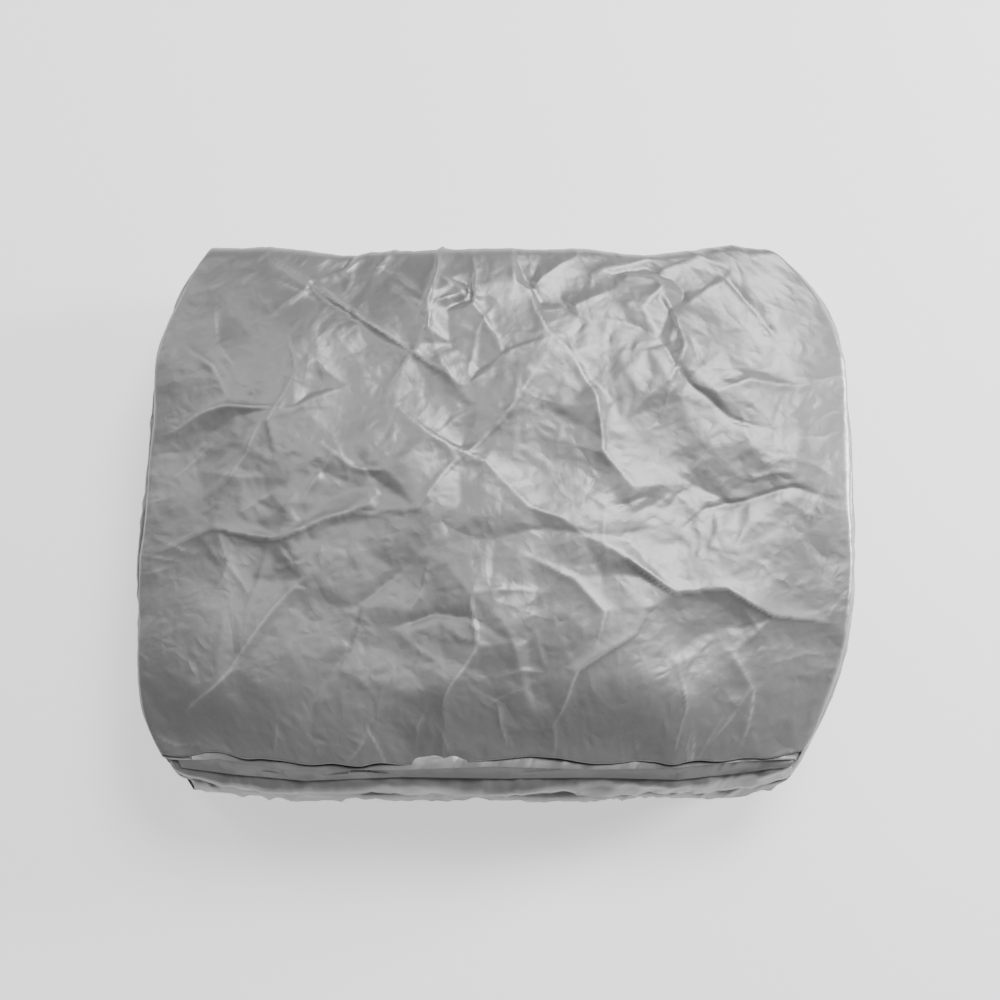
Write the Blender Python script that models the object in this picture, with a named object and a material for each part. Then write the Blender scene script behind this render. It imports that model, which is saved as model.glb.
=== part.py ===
"""A car cover of thin silver-grey film, folded flat as it is put away.

The cover is folded lengthwise to a strip, and the strip is folded back and forth into a low pack with soft, rounded
corners. The solid is that strip: one body that runs through twelve layers, a little apart, joined by bends at the
front and at the back. Its ends on the left and right show the section of the folds.

Frame: metres, +Z up. The pack lies on the plane Z = 0, its long side runs along X, and the front, where the strip's
free ends lie, faces -Y. The origin is under the middle of the pack.
"""

import math

import bmesh
import bpy
from mathutils import Vector

MM = 0.001

# The strip and how far its layers lie apart.
STRIP_THICKNESS = 6.3 * MM
LAYER_GAP = 0.7 * MM
LAYER_PITCH = STRIP_THICKNESS + LAYER_GAP

# Each layer from the floor up. The first two columns are how far the layer reaches to the left and to the right, and
# the last is how far the bend that joins it to the next layer reaches, at the back and the front by turns. The last
# layer has no bend above it.
LAYER_COLUMNS = ("left", "right", "bend")
LAYER_TABLE_MM = (
    (184, 187, 149),
    (191, 190, 151),
    (189, 195, 153),
    (196, 193, 155),
    (193, 199, 157),
    (199, 196, 154),
    (196, 200, 157),
    (198, 198, 157),
    (194, 199, 153),
    (197, 198, 154),
    (193, 198, 152),
    (192, 196, None),
)
LAYERS = [dict(zip(LAYER_COLUMNS, row)) for row in LAYER_TABLE_MM]
TOP_LAYER = len(LAYERS) - 1

# The strip's free ends, both at the front: under the pack and on top of it.
FIRST_END_REACH = 146 * MM
LAST_END_REACH = 139 * MM
PACK_HALF_LENGTH = 157 * MM

# How the pack draws in, seen from above. Each side draws in from the place along Y where it is widest. The front end
# draws in more than the back end.
WIDEST_AT = {"left": 0.0, "right": 60 * MM}
SIDE_DRAW_IN = {"left": 0.16, "right": 0.25}
SIDE_DRAW_IN_POWER = {"left": 4.5, "right": 3.7}
FRONT_END_DRAW_IN = 0.05
BACK_END_DRAW_IN = 0.015
END_DRAW_IN_POWER = 6

# How the pack thins towards its rim, and rises a little from left to right.
RIM_THINNING = 0.13
RIM_THINNING_POWER = 4
LEFT_TO_RIGHT_RISE = 0.02

# The layers aren't quite level: they rise and fall in slow waves, which fade out towards the floor.
WAVE_HEIGHT = 1.1 * MM
WAVE_LENGTH_X = 230 * MM
WAVE_LENGTH_Y = 190 * MM
WAVE_LENGTH_Z = 55 * MM
WAVE_FADE = 20 * MM

# Where the sections stand, closer together towards the rim: shares of a layer's straight stretch, shares of the way
# from the middle to the right end, and steps along the top layer and round a bend.
INNER_STATIONS = (-1.0, -0.93, -0.8, -0.55, 0.0, 0.55, 0.8, 0.93, 1.0)
RIGHT_STATIONS = (0.155, 0.31, 0.47, 0.62, 0.76, 0.88, 0.96, 1.0)
ACROSS_STATIONS = [-share for share in reversed(RIGHT_STATIONS)] + [0.0] + list(RIGHT_STATIONS)
TOP_STEPS = 16
BEND_STEPS = 4

# The broad swells of the top face: place, direction, reach along and across, and height.
SWELL_COLUMNS = ("x", "y", "turn_deg", "along", "across", "height")
SWELL_TABLE_MM = (
    (-128, 112, -34, 74, 17, 2.4),
    (-30, 118, -72, 60, 15, 2.2),
    (62, 108, 24, 66, 16, 2.6),
    (142, 62, -58, 80, 18, 2.2),
    (-146, -18, 82, 84, 18, 2.0),
    (-40, 6, 14, 110, 20, -1.8),
    (88, -44, -28, 96, 20, 2.0),
    (-84, -92, -20, 80, 18, 1.8),
)
SWELLS = [dict(zip(SWELL_COLUMNS, row)) for row in SWELL_TABLE_MM]

FILM_COLOUR = (0.36, 0.365, 0.355, 1.0)
FILM_ROUGHNESS = 0.42


def clear_scene():
    """Removes whatever the scene holds."""
    for old in list(bpy.data.objects):
        bpy.data.objects.remove(old)


def film_material():
    """Silver-grey film with a soft sheen."""
    material = bpy.data.materials.new("silver_film")
    material.use_nodes = True
    shader = material.node_tree.nodes["Principled BSDF"]
    shader.inputs["Base Color"].default_value = FILM_COLOUR
    shader.inputs["Roughness"].default_value = FILM_ROUGHNESS
    shader.inputs["Metallic"].default_value = 0.0
    return material


def layer_height(layer):
    """The height of the middle of a layer above the floor."""
    return STRIP_THICKNESS / 2 + layer * LAYER_PITCH


def facing(layer):
    """+1 where the bend above a layer lies at the back, -1 where it lies at the front."""
    return 1 if layer % 2 == 0 else -1


def bend_centre(layer):
    """How far out the centre of the bend above a layer lies, so that the bend's outside has the table's reach."""
    return LAYERS[layer]["bend"] * MM - (LAYER_PITCH + STRIP_THICKNESS) / 2


def straight_stretch(layer):
    """A layer's straight stretch, as (layer, y, z, normal), in the order in which the strip runs."""
    towards = facing(layer)
    start = FIRST_END_REACH if layer == 0 else bend_centre(layer - 1)
    stop = LAST_END_REACH if layer == TOP_LAYER else bend_centre(layer)
    if layer == TOP_LAYER:
        stations = [2 * step / TOP_STEPS - 1 for step in range(TOP_STEPS + 1)]
    else:
        stations = INNER_STATIONS
    points = []
    for station in stations:
        reach = start if station < 0 else stop
        points.append((layer, towards * station * reach, layer_height(layer), Vector((0, 0, towards))))
    return points


def bend(layer):
    """The inner points of the bend from a layer to the next one, as (layer, y, z, normal)."""
    towards = facing(layer)
    centre_z = layer_height(layer) + LAYER_PITCH / 2
    points = []
    for step in range(1, BEND_STEPS):
        share = step / BEND_STEPS
        angle = math.pi * (share - 0.5)
        outward = Vector((0, towards * math.cos(angle), math.sin(angle)))
        y = towards * bend_centre(layer) + outward.y * LAYER_PITCH / 2
        z = centre_z + outward.z * LAYER_PITCH / 2
        points.append((layer + share, y, z, -towards * outward))
    return points


def strip_path():
    """The middle line of the strip's section, from the free end under the pack to the one on top."""
    path = []
    for layer in range(len(LAYERS)):
        path += straight_stretch(layer)
        if layer < TOP_LAYER:
            path += bend(layer)
    return path


def reach_at(layer, side):
    """How far the strip reaches to a side, at a layer or part of the way to the next one."""
    low = min(int(layer), TOP_LAYER)
    high = min(low + 1, TOP_LAYER)
    share = layer - low
    return ((1 - share) * LAYERS[low][side] + share * LAYERS[high][side]) * MM


def swell_height(x, y):
    """The height of the broad swells at a place on the top face."""
    height = 0.0
    for swell in SWELLS:
        turn = math.radians(swell["turn_deg"])
        dx = x / MM - swell["x"]
        dy = y / MM - swell["y"]
        along = (dx * math.cos(turn) + dy * math.sin(turn)) / swell["along"]
        across = (dy * math.cos(turn) - dx * math.sin(turn)) / swell["across"]
        height += swell["height"] * MM * math.exp(-along * along - across * across)
    return height


def wave_height(x, y, height):
    """How far a place in the stack is lifted by the slow waves of the layers."""
    turn = 2 * math.pi * (x / WAVE_LENGTH_X + y / WAVE_LENGTH_Y + height / WAVE_LENGTH_Z)
    return WAVE_HEIGHT * math.sin(turn) * min(height / WAVE_FADE, 1.0)


def side_draw_in(side, y):
    """The share of its reach that a side loses at a place along it."""
    past_widest = y - WIDEST_AT[side]
    run = PACK_HALF_LENGTH + math.copysign(WIDEST_AT[side], -past_widest)
    return SIDE_DRAW_IN[side] * min(abs(past_widest) / run, 1.0) ** SIDE_DRAW_IN_POWER[side]


def lay(flat, layer):
    """Moves a point of the flat, square stack to its place in the soft pack. flat.x runs from -1 to 1."""
    across = abs(flat.x)
    along = min(abs(flat.y) / PACK_HALF_LENGTH, 1.0)
    side = "left" if flat.x < 0 else "right"
    end_draw_in = FRONT_END_DRAW_IN if flat.y < 0 else BACK_END_DRAW_IN
    x = flat.x * reach_at(layer, side) * (1 - side_draw_in(side, flat.y))
    y = flat.y * (1 - end_draw_in * across**END_DRAW_IN_POWER)
    rim = 1 - (1 - across**RIM_THINNING_POWER) * (1 - along**RIM_THINNING_POWER)
    height = flat.z * (1 - RIM_THINNING * rim + LEFT_TO_RIGHT_RISE * flat.x)
    height += wave_height(x, y, flat.z)
    is_top_face = flat.z > layer_height(TOP_LAYER)
    if is_top_face:
        height += swell_height(x, y) * (1 - rim)
    return Vector((x, y, height))


def fold_cover():
    """The folded strip as one closed body: its section is drawn at the left end and extruded across the pack."""
    shape = bmesh.new()
    layer_of = shape.verts.layers.float.new("layer")
    pairs = []
    for layer, y, z, normal in strip_path():
        middle = Vector((ACROSS_STATIONS[0], y, z))
        pair = [shape.verts.new(middle + side * normal * STRIP_THICKNESS / 2) for side in (-1, 1)]
        for vertex in pair:
            vertex[layer_of] = layer
        pairs.append(pair)
    section = [shape.faces.new((a[0], b[0], b[1], a[1])) for a, b in zip(pairs, pairs[1:])]
    for here, there in zip(ACROSS_STATIONS, ACROSS_STATIONS[1:]):
        edges = list({edge for face in section for edge in face.edges})
        grown = bmesh.ops.extrude_face_region(shape, geom=section + edges)["geom"]
        section = [item for item in grown if isinstance(item, bmesh.types.BMFace)]
        moved = [item for item in grown if isinstance(item, bmesh.types.BMVert)]
        bmesh.ops.translate(shape, verts=moved, vec=(there - here, 0, 0))
    for vertex in shape.verts:
        vertex.co = lay(vertex.co, vertex[layer_of])
    bmesh.ops.recalc_face_normals(shape, faces=shape.faces)
    bmesh.ops.triangulate(shape, faces=shape.faces, quad_method="SHORT_EDGE")
    return shape


def centre_over_origin(shape):
    """Slides the pack on the floor until its outer box is centred over the origin."""
    xs = [vertex.co.x for vertex in shape.verts]
    ys = [vertex.co.y for vertex in shape.verts]
    middle = Vector(((min(xs) + max(xs)) / 2, (min(ys) + max(ys)) / 2, 0))
    bmesh.ops.translate(shape, verts=shape.verts, vec=-middle)


def build():
    """Makes the folded cover's object."""
    clear_scene()
    shape = fold_cover()
    centre_over_origin(shape)
    mesh = bpy.data.meshes.new("folded_cover")
    shape.to_mesh(mesh)
    shape.free()
    mesh.materials.append(film_material())
    mesh.shade_smooth()
    mesh.set_sharp_from_angle(angle=math.radians(50))
    cover = bpy.data.objects.new("folded_cover", mesh)
    bpy.context.scene.collection.objects.link(cover)


build()
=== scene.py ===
# %% [markdown]
# # A car cover, folded flat
#
# The real cover is one very large sheet of thin, silver-grey plastic film. To put it away it is folded
# lengthwise to a strip of four plies, and the strip is folded back and forth into a low, soft pack. This
# script does the same. It lays a flat sheet out at its cut size, folds it along two drawn lines, and lets
# the folds lie as unevenly as film does. The ply on top, which shows most, is cut out of the sheet and made
# again in a much finer mesh, with its creases.

# %% [markdown]
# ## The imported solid
#
# Its box says how large the finished cover may be, so it is kept here, before anything is added.

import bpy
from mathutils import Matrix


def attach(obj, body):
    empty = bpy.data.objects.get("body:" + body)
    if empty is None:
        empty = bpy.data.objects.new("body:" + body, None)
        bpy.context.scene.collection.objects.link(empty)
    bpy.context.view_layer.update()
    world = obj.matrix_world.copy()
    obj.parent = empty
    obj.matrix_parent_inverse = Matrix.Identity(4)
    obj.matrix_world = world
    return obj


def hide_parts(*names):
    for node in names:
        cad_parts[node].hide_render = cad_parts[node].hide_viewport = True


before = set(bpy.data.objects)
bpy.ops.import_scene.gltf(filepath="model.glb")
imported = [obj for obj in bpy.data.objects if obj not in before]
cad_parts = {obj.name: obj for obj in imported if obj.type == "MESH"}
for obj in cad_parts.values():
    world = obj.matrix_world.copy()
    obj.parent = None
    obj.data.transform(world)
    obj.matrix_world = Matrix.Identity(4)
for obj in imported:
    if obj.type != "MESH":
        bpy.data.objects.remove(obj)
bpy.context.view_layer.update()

# %% Modules and units
import math
import random

import bmesh
import bpy
import numpy as np
from mathutils import Vector, noise
from mathutils.bvhtree import BVHTree
from mathutils.geometry import delaunay_2d_cdt

MM = 0.001
noise.seed_set(4)

# %% [markdown]
# ## A line that a sheet can lie on
#
# Folding is easiest to think about from the side: a fold is a line drawn on paper, and the sheet lies along
# it. So a route is a line of points that also knows how long it is. Ask it for a length along the sheet, and
# it says where that place ends up and which way the sheet faces there. A modifier that bends could do one
# fold, not dozens.

# %% A measured line
PROBE = 0.2 * MM


class Route:
    """A line in a plane, measured along itself. A third column of its points is carried along."""

    def __init__(self, points):
        self.columns = np.array(points).T
        run, rise = np.diff(self.columns[0]), np.diff(self.columns[1])
        self.reached = np.concatenate(([0.0], np.cumsum(np.hypot(run, rise))))
        self.length = self.reached[-1]

    def at(self, lengths):
        """Each column's value at these lengths along the line."""
        return [np.interp(lengths, self.reached, column) for column in self.columns]

    def facing(self, lengths):
        """The direction square to the line, on its left, at these lengths."""
        before = self.at(lengths - PROBE)
        after = self.at(lengths + PROBE)
        run, rise = after[0] - before[0], after[1] - before[1]
        size = np.hypot(run, rise)
        return -rise / size, run / size


def round_turn(centre, radius, start_deg, turn_deg, steps):
    """The points of a bend: an arc about a centre."""
    angles = [math.radians(start_deg + turn_deg * step / steps) for step in range(steps + 1)]
    x, y = centre
    return [(x + radius * math.cos(angle), y + radius * math.sin(angle)) for angle in angles]


# %% [markdown]
# ## The strip: four plies
#
# Folded in half and in half again, the film gives a strip of four plies. Seen from its end, one wide bend on
# the right holds a narrow one, and on the left there is one narrow bend beside the two cut edges. Heights
# count from the middle of the strip. Each ply here stands for several of the real ones, which are thinner
# than a sheet of paper.

# %% Draw the strip's section
STRIP_THICKNESS = 6.3 * MM
PLY_PITCH = 1.9 * MM
HALF_WIDTH = 193 * MM
OUTER_TURN = 1.5 * PLY_PITCH
NARROW_TURN = 0.5 * PLY_PITCH
CUT_EDGE_STEPS_BACK = (3 * MM, 8 * MM)

right_centre = HALF_WIDTH - OUTER_TURN
left_centre = NARROW_TURN - HALF_WIDTH
wide_bend = round_turn((right_centre, 0), OUTER_TURN, 90, -180, 10)
left_bend = round_turn((left_centre, -PLY_PITCH), NARROW_TURN, -90, -180, 6)
inner_bend = round_turn((right_centre, 0), NARROW_TURN, -90, 180, 4)
outer_cut_edge = (CUT_EDGE_STEPS_BACK[0] - HALF_WIDTH, OUTER_TURN)
inner_cut_edge = (CUT_EDGE_STEPS_BACK[1] - HALF_WIDTH, NARROW_TURN)
section = Route([outer_cut_edge, *wide_bend, *left_bend, *inner_bend, inner_cut_edge])
print(f"The sheet is {section.length:.2f} m wide before it is folded to {2 * HALF_WIDTH / MM:.0f} mm")

# %% [markdown]
# ## The pack: twelve layers
#
# The strip goes back and forth, so its own line runs along one layer, round a bend at the back, along the
# next layer, and round a bend at the front. No two layers of a real pack reach equally far, and the table
# says how far each goes.

# %% Draw the strip's way through the pack
LAYER_PITCH = STRIP_THICKNESS + 0.7 * MM
LAYER_COLUMNS = ("left", "right", "bend")
LAYER_TABLE_MM = (
    (184, 187, 149),
    (191, 190, 151),
    (189, 195, 153),
    (196, 193, 155),
    (193, 199, 157),
    (199, 196, 154),
    (196, 200, 157),
    (198, 198, 157),
    (194, 199, 153),
    (197, 198, 154),
    (193, 198, 152),
    (192, 196, 152),
)
LAYERS = [dict(zip(LAYER_COLUMNS, row)) for row in LAYER_TABLE_MM]
TOP_LAYER = len(LAYERS) - 1
FIRST_END_REACH = 146 * MM
LAST_END_REACH = 139 * MM
BEND_STEPS = 8


def bend_points(layer):
    """The bend above a layer: at the back above even layers, at the front above odd ones."""
    towards = 1 if layer % 2 == 0 else -1
    radius = LAYER_PITCH / 2
    centre_y = towards * (LAYERS[layer]["bend"] * MM - radius - STRIP_THICKNESS / 2)
    centre_z = STRIP_THICKNESS / 2 + layer * LAYER_PITCH + radius
    arc = round_turn((centre_y, centre_z), radius, -90, towards * 180, BEND_STEPS)
    return [(y, z, layer + step / BEND_STEPS) for step, (y, z) in enumerate(arc)]


bends = [bend_points(layer) for layer in range(TOP_LAYER)]
first_end = (-FIRST_END_REACH, STRIP_THICKNESS / 2, 0)
last_end = (-LAST_END_REACH, STRIP_THICKNESS / 2 + TOP_LAYER * LAYER_PITCH, TOP_LAYER)
path = Route([first_end, *[point for bend in bends for point in bend], last_end])
print(f"The sheet is {path.length:.2f} m long before it is folded to {len(LAYERS)} layers")

# %% [markdown]
# ## From flat to folded
#
# A point of the flat sheet has a length across and a length along. The section turns the first into a place
# and a depth inside the strip, and the path turns the second into a place in the pack. `lift` stands off the
# sheet: it is how creases are made. At the strip's two ends the plies lie closer together, as nothing holds
# them open there. Their cut edges aren't flush or straight, as nobody folds that neatly: a table says how
# far each ply stands forward.

# %% Fold points of the sheet
PLY_DEPTHS = (-OUTER_TURN, -NARROW_TURN, NARROW_TURN, OUTER_TURN)
FIRST_END_FORWARD = np.array([6, 4, 1, 0]) * MM
LAST_END_FORWARD = np.array([0, 3, 7.5, 5]) * MM
END_ZONE = 45 * MM
END_PINCH = 0.62
RAGGED_REACH, RAGGED_SIZE = 2.2 * MM, 16 * MM


def smooth_step(value):
    """0 below 0, 1 above 1, and a soft rise in between."""
    share = np.clip(value, 0, 1)
    return share * share * (3 - 2 * share)


def end_shares(along):
    """Up to 1 at the sheet's first end, under the pack, and at its last end, on top, and 0 elsewhere."""
    return smooth_step(1 - along / END_ZONE), smooth_step((along - path.length + END_ZONE) / END_ZONE)


def fold(across, along, lift):
    """The folded places of points of the sheet, one row each, and the layer of each."""
    x, depth = section.at(across)
    out_x, out_depth = section.facing(across)
    y, z, layer = path.at(along)
    up_y, up_z = path.facing(along)
    first, last = end_shares(along)
    plies_apart = zip(x / RAGGED_SIZE, np.round(depth / PLY_PITCH, 1))
    ragged = RAGGED_REACH * np.array([noise.noise(Vector((a, 5 * b, 3.3))) for a, b in plies_apart])
    forward = first * (np.interp(depth, PLY_DEPTHS, FIRST_END_FORWARD) + ragged)
    forward += last * (np.interp(depth, PLY_DEPTHS, LAST_END_FORWARD) + ragged)
    sunk = END_PINCH * (first + last) * (up_z * depth + OUTER_TURN)
    depth = depth + lift * out_depth
    return np.stack([x + lift * out_x, y + depth * up_y - forward, z + depth * up_z - sunk], axis=1), layer


# %% [markdown]
# ## Soft corners and slow waves
#
# Square folds would look like a brick of paper. A pack of film draws in at its corners, is thinner at its
# rim, and its layers rise and fall in slow waves. These are the solid's own formulas, so that the cover fits
# the solid.

# %% Give the pack its soft shape
PACK_HALF_LENGTH = 157 * MM
RIGHT_WIDEST_AT = 60 * MM
LEFT_DRAW_IN, LEFT_DRAW_IN_POWER = 0.16, 4.5
RIGHT_DRAW_IN, RIGHT_DRAW_IN_POWER = 0.25, 3.7
FRONT_END_DRAW_IN, BACK_END_DRAW_IN, END_DRAW_IN_POWER = 0.05, 0.015, 6
RIM_THINNING, RIM_THINNING_POWER = 0.13, 4
LEFT_TO_RIGHT_RISE = 0.02
WAVE_HEIGHT, WAVE_FADE = 1.1 * MM, 20 * MM
WAVE_LENGTHS = np.array([230, 190, 55]) * MM


def rim_share(across, along):
    """0 in the middle of the pack, 1 at its rim."""
    return 1 - (1 - across**RIM_THINNING_POWER) * (1 - along**RIM_THINNING_POWER)


def side_draw_in(x, y):
    """The share of its reach that a side loses at places along it, counted from where it is widest."""
    past_widest = y - RIGHT_WIDEST_AT
    run = PACK_HALF_LENGTH - np.sign(past_widest) * RIGHT_WIDEST_AT
    on_left = LEFT_DRAW_IN * np.minimum(np.abs(y) / PACK_HALF_LENGTH, 1) ** LEFT_DRAW_IN_POWER
    on_right = RIGHT_DRAW_IN * np.minimum(np.abs(past_widest) / run, 1) ** RIGHT_DRAW_IN_POWER
    return np.where(x < 0, on_left, on_right)


def soften(places, layer):
    """Moves points of the square pack to the soft one."""
    x, y, z = places.T
    across = np.minimum(np.abs(x) / HALF_WIDTH, 1)
    along = np.minimum(np.abs(y) / PACK_HALF_LENGTH, 1)
    numbers = range(len(LAYERS))
    left = np.interp(layer, numbers, [row["left"] * MM for row in LAYERS])
    right = np.interp(layer, numbers, [row["right"] * MM for row in LAYERS])
    reach = np.where(x < 0, left, right)
    end_draw_in = np.where(y < 0, FRONT_END_DRAW_IN, BACK_END_DRAW_IN)
    new_x = x / HALF_WIDTH * reach * (1 - side_draw_in(x, y))
    new_y = y * (1 - end_draw_in * across**END_DRAW_IN_POWER)
    new_z = z * (1 - RIM_THINNING * rim_share(across, along) + LEFT_TO_RIGHT_RISE * x / HALF_WIDTH)
    turns = new_x / WAVE_LENGTHS[0] + new_y / WAVE_LENGTHS[1] + z / WAVE_LENGTHS[2]
    new_z += WAVE_HEIGHT * np.sin(2 * math.pi * turns) * np.minimum(z / WAVE_FADE, 1)
    return np.stack([new_x, new_y, new_z], axis=1)


# %% [markdown]
# ## Nothing lies quite straight
#
# Smooth random noise shifts every point a little. Sideways it may change from layer to layer, because layers
# slide on each other. Up and down it has to change slowly, or one layer would pass through the next. The
# back edge waves in and out by listed amounts, as it is the edge that shows most.

# %% Let the layers slip
SLIP_SIZE = np.array([48, 48, 8]) * MM
SLIP_REACH = np.array([3.6, 3.6, 0.0]) * MM
SAG_SIZE = np.array([52, 52, 60]) * MM
SAG_REACH = np.array([0.0, 0.0, 3.2]) * MM
SLIP_AT_FLOOR = 0.4
BACK_EDGE_X_MM = (-175, -155, -135, -115, -70, -30, 60, 85, 112, 135, 150, 170)
BACK_EDGE_OUT_MM = (6, 5.5, 3, 1, -2, 0, 1, -1, 1, 5.5, 2, 0)
BACK_EDGE_ZONE = 60 * MM


def drift(places, size, reach, seed):
    """A smooth random shift of each point, which changes over `size` and is about `reach` at most."""
    start = Vector((seed, 2 * seed, 3 * seed))
    return reach * np.array([noise.noise_vector(Vector(place) + start) for place in places / size])


def settle(places):
    """Lets the soft pack's points slip and sag, less and less towards the floor."""
    height = np.minimum(places[:, 2:] / WAVE_FADE, 1)
    slip_share = SLIP_AT_FLOOR + (1 - SLIP_AT_FLOOR) * height
    slipped = places + drift(places, SLIP_SIZE, SLIP_REACH, 11.3) * slip_share
    near_back = smooth_step(1 - (PACK_HALF_LENGTH - places[:, 1]) / BACK_EDGE_ZONE)
    slipped[:, 1] += MM * near_back * np.interp(places[:, 0] / MM, BACK_EDGE_X_MM, BACK_EDGE_OUT_MM)
    return slipped + drift(places, SAG_SIZE, SAG_REACH, 4.7) * height


# %% [markdown]
# ## The flat sheet
#
# A grid is the natural start for cloth: every row and column stays a thread-straight line of the film. The
# columns stand close at the bends of the section, and the rows at the bends of the path, so few faces go
# into the middle of the pack, which nobody sees. Two more columns and a row stand where the top ply will be
# cut out: that rectangle runs from under the right side, over the top and into the left bend, and from under
# the back bend to the front end.

# %% Cut out a flat sheet
TUCKED_UNDER = 16 * MM
FACES_ACROSS_PLIES = (24, 24, 8, 8)
FACES_ALONG_LAYER = 11
CROWDING = 0.5


def eased_shares(count, ease):
    """Shares from 0 to 1 that crowd towards both ends, the more the higher `ease` is."""
    even = [step / count for step in range(count + 1)]
    return [(1 - ease) * share + ease * (0.5 - 0.5 * math.cos(math.pi * share)) for share in even]


def stations(route, turns, counts, ease):
    """Where rows or columns stand: every point of the turns, and `counts` faces on each straight."""
    starts = [0.0] + [stop for _, stop in turns]
    stops = [start for start, _ in turns] + [route.length]
    placed = []
    for start, stop, count in zip(starts, stops, counts):
        placed += [start + share * (stop - start) for share in eased_shares(count, ease)]
    for start, stop in turns:
        placed += [place for place in route.reached if start < place < stop]
    return sorted(placed)


def turns_of(route, arcs):
    """The lengths at which each arc of a route starts and stops. The first arc follows its first point."""
    found, point = [], 1
    for arc in arcs:
        found.append((route.reached[point], route.reached[point + len(arc) - 1]))
        point += len(arc)
    return found


def flat_sheet(columns, rows):
    """A flat grid with its columns and rows at the given lengths."""
    sheet = bmesh.new()
    bmesh.ops.create_grid(sheet, x_segments=len(columns) - 1, y_segments=len(rows) - 1, size=0.5)
    for vertex in sheet.verts:
        column = round((vertex.co.x + 0.5) * (len(columns) - 1))
        row = round((vertex.co.y + 0.5) * (len(rows) - 1))
        vertex.co = (columns[column], rows[row], 0)
    return sheet


section_turns = turns_of(section, [wide_bend, left_bend, inner_bend])
path_turns = turns_of(path, bends)
top_across = (section_turns[0][0] - TUCKED_UNDER, section_turns[1][1] + TUCKED_UNDER)
top_along = (path_turns[-1][0] - TUCKED_UNDER, path.length)
columns = stations(section, section_turns, FACES_ACROSS_PLIES, CROWDING)
rows = stations(path, path_turns, [FACES_ALONG_LAYER] * len(LAYERS), CROWDING)
plies = flat_sheet(sorted([*columns, *top_across]), sorted([*rows, top_along[0]]))
print(f"The flat sheet has {len(plies.faces)} faces")

# %% [markdown]
# ## Cut the top ply out
#
# The ply that shows on top is made on its own, in a much finer mesh, so its place in this sheet is cleared.

# %% Remove the top ply's place
taken = []
for face in plies.faces:
    middle = face.calc_center_median()
    if top_across[0] < middle.x < top_across[1] and top_along[0] < middle.y:
        taken.append(face)
bmesh.ops.delete(plies, geom=taken, context="FACES")
print(f"The top ply is {top_across[1] - top_across[0]:.3f} m by {top_along[1] - top_along[0]:.3f} m")

# %% [markdown]
# ## More faces where it shows
#
# Seen from outside, the pack is bends: long bends at the front and back, and the ends of the plies left and
# right. Only the edges there are cut again, so that small crumples have enough points.

# %% Cut the outside finer
BEND_ZONE = 9 * MM
LONG_EDGE = 5 * MM
FINER_CUTS = 5


def near_any(place, turns, zone):
    """Whether a length lies at one of the turns, or in a zone beside it."""
    return any(start - zone <= place <= stop + zone for start, stop in turns)


def long_edges(sheet, axis, wanted):
    """The long edges of a flat sheet that run along an axis, from a wanted place."""
    found = []
    for edge in sheet.edges:
        start, stop = edge.verts[0].co, edge.verts[1].co
        if start[1 - axis] == stop[1 - axis] and edge.calc_length() > LONG_EDGE and wanted(start):
            found.append(edge)
    return found


outer_plies_end = section_turns[1][0] - MM
at_bends = long_edges(
    plies, 0, lambda place: near_any(place.y, path_turns, BEND_ZONE) and place.x < outer_plies_end
)
bmesh.ops.subdivide_edges(plies, edges=at_bends, cuts=FINER_CUTS, use_single_edge=True)
at_sides = long_edges(plies, 1, lambda place: near_any(place.x, section_turns, BEND_ZONE))
bmesh.ops.subdivide_edges(plies, edges=at_sides, cuts=FINER_CUTS, use_single_edge=True)
print(f"The sheet now has {len(plies.faces)} faces")

# %% [markdown]
# ## Crumpled bends
#
# Film that goes round a bend puckers: short, sharp ridges run over the bend, square to it. Ridges come from
# noise with its sign dropped, which has a sharp crest wherever it passes through zero.

# %% Pucker the bends
PUCKER_HEIGHTS_WIDTHS_LENGTHS_MM = ((1.6, 15, 60), (0.4, 6.5, 26))
RIDGE_SHARPNESS = 2.6
PUCKER_LEAN, PUCKER_LAYER_SHIFT = 0.3, 7.7
OUTER_PLIES_FROM, OUTER_PLIES_OVER = 1.2 * PLY_PITCH, 0.2 * PLY_PITCH
END_PUCKERS_FROM, END_PUCKERS_OVER = 137 * MM, 14 * MM
SIDE_PUCKERS_WITHIN, SIDE_PUCKERS_OVER = 14 * MM, 12 * MM
PUCKER_WEAR = 0.6


def ridges(first, second, seed):
    """Sharp-crested noise from 0 to 1 over two lengths."""
    waves = [noise.noise(Vector((a, b, seed))) for a, b in zip(first, second)]
    return 1 - np.minimum(RIDGE_SHARPNESS * np.abs(waves), 1)


def pucker(across, along):
    """How far the film stands off at the bends of the strip and of the pack, and how rubbed it is there."""
    x, depth = section.at(across)
    y, _, layer = path.at(along)
    outer = smooth_step((np.abs(depth) - OUTER_PLIES_FROM) / OUTER_PLIES_OVER)
    at_end = smooth_step((np.abs(y) - END_PUCKERS_FROM) / END_PUCKERS_OVER) * outer
    at_side = smooth_step((np.abs(x) - HALF_WIDTH + SIDE_PUCKERS_WITHIN) / SIDE_PUCKERS_OVER)
    lift, wear_and_shade_marks = np.zeros_like(x), np.zeros_like(x)
    for height, width, length in PUCKER_HEIGHTS_WIDTHS_LENGTHS_MM:
        leaning = (x + PUCKER_LEAN * along) / (width * MM) + PUCKER_LAYER_SHIFT * np.round(layer)
        over_end = at_end * ridges(leaning, along / (length * MM), 0.5)
        over_side = at_side * ridges(along / (width * MM), across / (length * MM), 9.5)
        lift += height * MM * (over_end + 0.5 * over_side)
        wear_and_shade_marks = np.maximum(wear_and_shade_marks, PUCKER_WEAR * over_end**6 + PUCKER_WEAR * over_side**6)
    return lift, wear_and_shade_marks


def points_of(mesh):
    """A mesh's points, one row each."""
    flat = np.zeros(3 * len(mesh.vertices))
    mesh.vertices.foreach_get("co", flat)
    return flat.reshape(-1, 3)


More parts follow.
